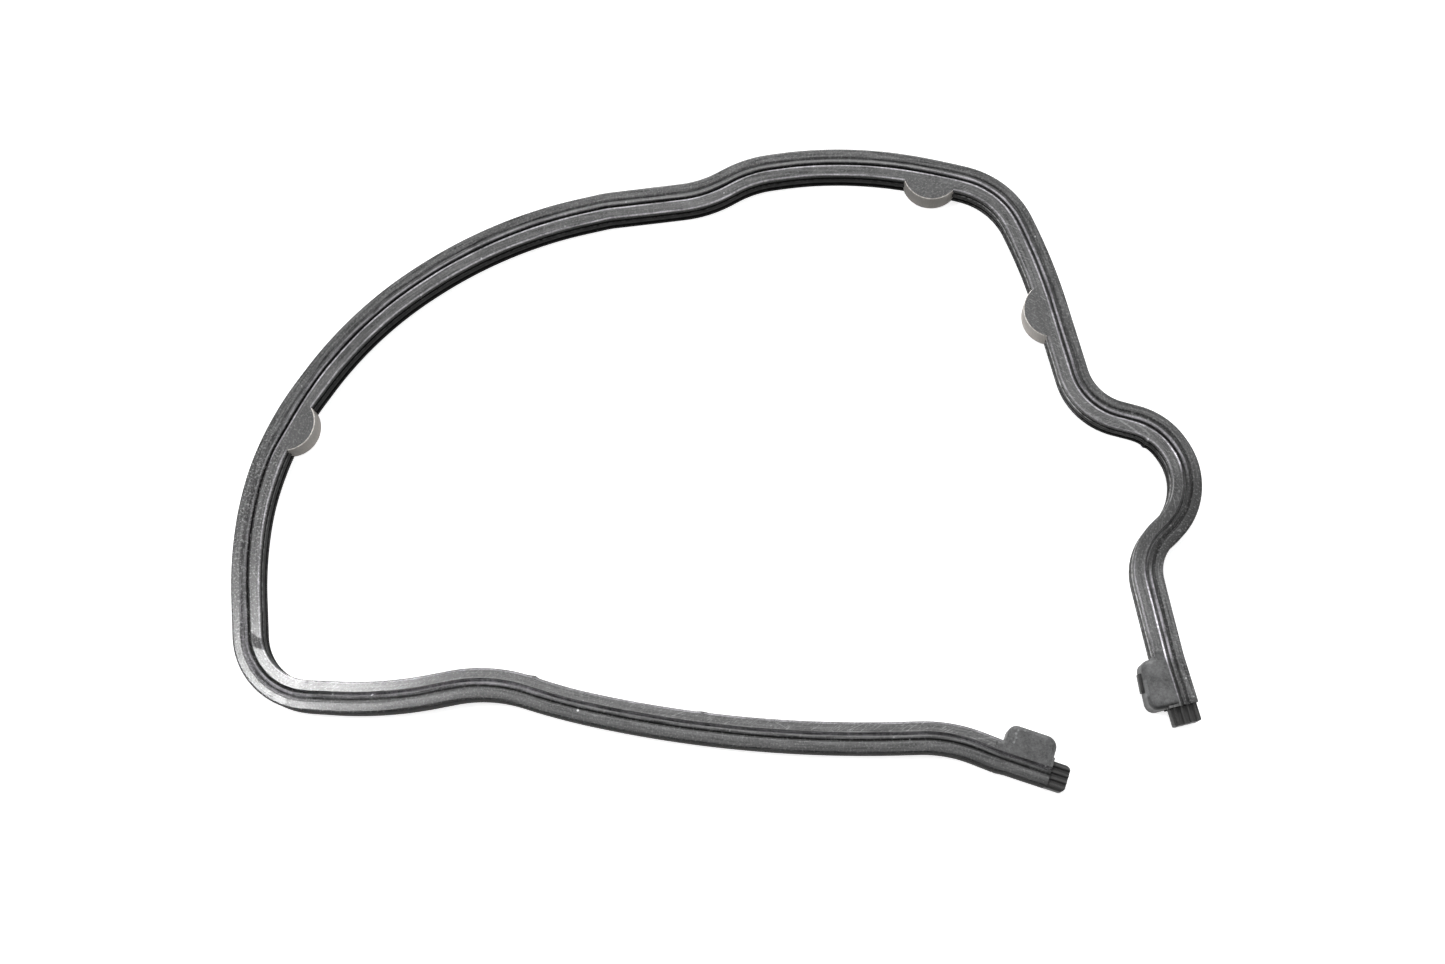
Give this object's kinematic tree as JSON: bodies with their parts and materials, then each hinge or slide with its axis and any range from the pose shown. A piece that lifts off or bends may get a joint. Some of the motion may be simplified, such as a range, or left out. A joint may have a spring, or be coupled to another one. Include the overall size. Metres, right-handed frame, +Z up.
{
  "type": "gasket",
  "caption": "Open moulded rubber strip gasket for an engine cover, with a sealing bead between two grooves, round ears on its inner side and a keyed block with a ribbed tongue at each end.",
  "frame": {"origin": "middle of the part's box in plan, on the plane that its underside rests on", "axes": "+X along the loop's longest side, towards the two ends; +Y across the loop, away from the ends; +Z up through the strip's thickness, out of the face with the raised blocks"},
  "size_m": [0.2232, 0.1538, 0.0063],
  "materials": {
    "rubber": "dull black moulded rubber with a satin sheen, paler where it is rubbed"
  },
  "bodies": {
    "root": {"gasket": "rubber"}
  },
  "joints": []
}
